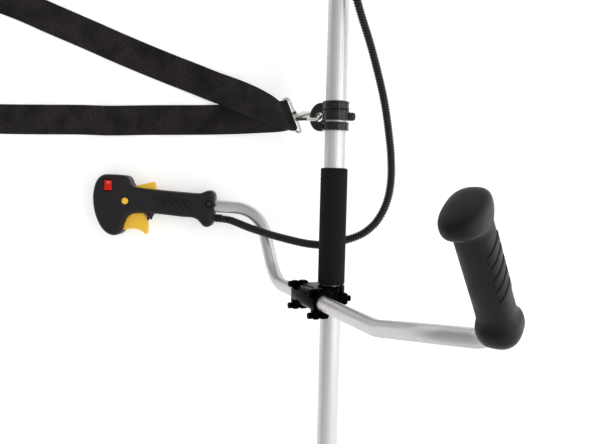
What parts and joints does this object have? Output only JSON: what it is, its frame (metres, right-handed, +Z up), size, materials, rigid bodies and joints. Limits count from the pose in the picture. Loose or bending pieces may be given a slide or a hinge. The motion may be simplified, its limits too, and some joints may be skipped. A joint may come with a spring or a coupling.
{
  "type": "string trimmer",
  "caption": "Petrol string trimmer lying on its side: long shaft with bicycle handlebars, throttle handle, shaft hanger with hooked harness strap, engine, guard and line head.",
  "frame": {"origin": "on the floor, under the middle of the object's box", "axes": "+Y along the shaft from the cutting head to the engine, +Z up, +X to the side that the plain grip is on"},
  "size_m": [0.9388, 1.9214, 0.5626],
  "materials": {
    "aluminium": "satin",
    "black_metal": "satin",
    "black_plastic": "fine grain",
    "foam": "closed-cell foam",
    "nickel": "polished",
    "nylon": "smooth",
    "pale_plastic": "translucent moulded",
    "red_plastic": "smooth",
    "rubber": "matt",
    "steel": "brushed",
    "webbing": "woven polyester",
    "yellow_plastic": "smooth"
  },
  "bodies": {
    "machine": {"air_filter_cover": "black_plastic", "bar_screw_1": "black_metal", "bar_screw_2": "black_metal", "bar_screw_3": "black_metal", "bar_screw_4": "black_metal", "cable_boot": "rubber", "carburettor": "aluminium", "case_screw": "black_metal", "clamp_bar_cap": "black_metal", "clamp_saddle": "black_metal", "clamp_shaft_cap": "black_metal", "clutch_housing": "aluminium", "drive_tube": "aluminium", "engine_block": "aluminium", "engine_cover": "yellow_plastic", "engine_stand": "black_plastic", "foam_sleeve": "foam", "fuel_tank": "pale_plastic", "gearbox_housing": "aluminium", "guard": "black_plastic", "handlebar": "aluminium", "hanger_band": "black_metal", "hanger_bolt": "black_metal", "hanger_eye": "black_metal", "line_blade": "steel", "muffler": "steel", "muffler_guard": "black_plastic", "plain_grip": "rubber", "shaft_bush": "rubber", "shaft_screw_1": "black_metal", "shaft_screw_2": "black_metal", "spark_plug_boot": "rubber", "starter_housing": "black_plastic", "throttle_cable": "black_plastic", "throttle_case_lower": "black_plastic", "throttle_case_upper": "black_plastic"},
    "drive_line": {"drive_shaft": "steel"},
    "crank": {"crankshaft": "steel"},
    "cutter": {"arbor": "steel", "head_housing": "black_plastic", "line_spool": "yellow_plastic", "trimmer_line_1": "nylon", "trimmer_line_2": "nylon"},
    "bump": {"bump_knob": "yellow_plastic"},
    "trigger": {"throttle_trigger": "yellow_plastic"},
    "lockout": {"throttle_lockout": "yellow_plastic"},
    "rocker": {"stop_switch": "red_plastic"},
    "lock_button": {"throttle_lock_button": "yellow_plastic"},
    "harness": {"swivel_ring": "nickel", "strap_front": "webbing", "strap_rear": "webbing", "strap_side": "webbing", "shoulder_pad": "webbing", "strap_slider": "black_plastic"},
    "hook": {"snap_hook": "nickel"},
    "gate": {"snap_gate": "black_metal"},
    "tank_cap": {"fuel_cap": "black_plastic"},
    "choke": {"choke_lever": "yellow_plastic"},
    "primer": {"primer_bulb": "pale_plastic"},
    "starter_pull": {"starter_handle": "black_plastic"}
  },
  "joints": [
    {"name": "harness_swing", "type": "hinge", "parent": "machine", "child": "harness", "pos_m": [0.26594, 0.41275, 0.13975], "axis": [0, 0, 1], "range_deg": [-20, 8]},
    {"name": "hook_swivel", "type": "hinge", "parent": "harness", "child": "hook", "pos_m": [0.26594, 0.41275, 0.13975], "axis": [-0.7193, 0.0915, -0.6887], "range_deg": [-5, 10]},
    {"name": "gate_hinge", "type": "hinge", "parent": "hook", "child": "gate", "pos_m": [0.23681, 0.41194, 0.1207], "axis": [0.3067, -0.8476, -0.4329], "range_deg": [-22, 0], "stiffness_Nm_per_rad": 0.02},
    {"name": "trigger_squeeze", "type": "hinge", "parent": "machine", "child": "trigger", "pos_m": [-0.02522, 0.27705, 0.01811], "axis": [0, 0, 1], "range_deg": [0, 22], "stiffness_Nm_per_rad": 0.08},
    {"name": "lockout_press", "type": "hinge", "parent": "machine", "child": "lockout", "pos_m": [-0.01703, 0.30367, 0.01811], "axis": [0, 0, 1], "range_deg": [-12, 0], "stiffness_Nm_per_rad": 0.06},
    {"name": "stop_switch_rock", "type": "hinge", "parent": "machine", "child": "rocker", "pos_m": [-0.05569, 0.31118, 0.03351], "axis": [0.9987, -0.0518, 0], "range_deg": [0, 10]},
    {"name": "lock_button_press", "type": "slide", "parent": "machine", "child": "lock_button", "axis": [0, 0, -1], "range_m": [0, 0.003], "stiffness_N_per_m": 200},
    {"name": "cutter_spin", "type": "hinge", "parent": "machine", "child": "cutter", "pos_m": [0.28662, -0.78325, 0.15711], "axis": [-0.8035, 0.5, 0.323], "continuous": true},
    {"name": "drive_spin", "type": "hinge", "parent": "machine", "child": "drive_line", "pos_m": [0.28662, 0.15475, 0.15711], "axis": [0, 1, 0], "continuous": true},
    {"name": "crank_spin", "type": "hinge", "parent": "machine", "child": "crank", "pos_m": [0.28662, 0.85475, 0.15711], "axis": [0, 1, 0], "continuous": true},
    {"name": "bump_press", "type": "slide", "parent": "cutter", "child": "bump", "axis": [-0.8035, 0.5, 0.323], "range_m": [0, 0.005], "stiffness_N_per_m": 400},
    {"name": "fuel_cap_turn", "type": "hinge", "parent": "machine", "child": "tank_cap", "pos_m": [0.40369, 0.81075, 0.20166], "axis": [0.373, 0, 0.9278], "range_deg": [0, 540]},
    {"name": "choke_turn", "type": "hinge", "parent": "machine", "child": "choke", "pos_m": [0.28142, 0.88975, 0.26482], "axis": [0, 1, 0], "range_deg": [0, 70]},
    {"name": "primer_press", "type": "slide", "parent": "machine", "child": "primer", "axis": [-0.9278, 0, 0.373], "range_m": [0, 0.004], "stiffness_N_per_m": 150},
    {"name": "starter_pull", "type": "slide", "parent": "machine", "child": "starter_pull", "axis": [-0.9278, 0, 0.373], "range_m": [0, 0.6], "stiffness_N_per_m": 12}
  ],
  "couplings": [
    {"joint": "drive_spin", "follows": "cutter_spin", "ratio": -1.3571}
  ]
}
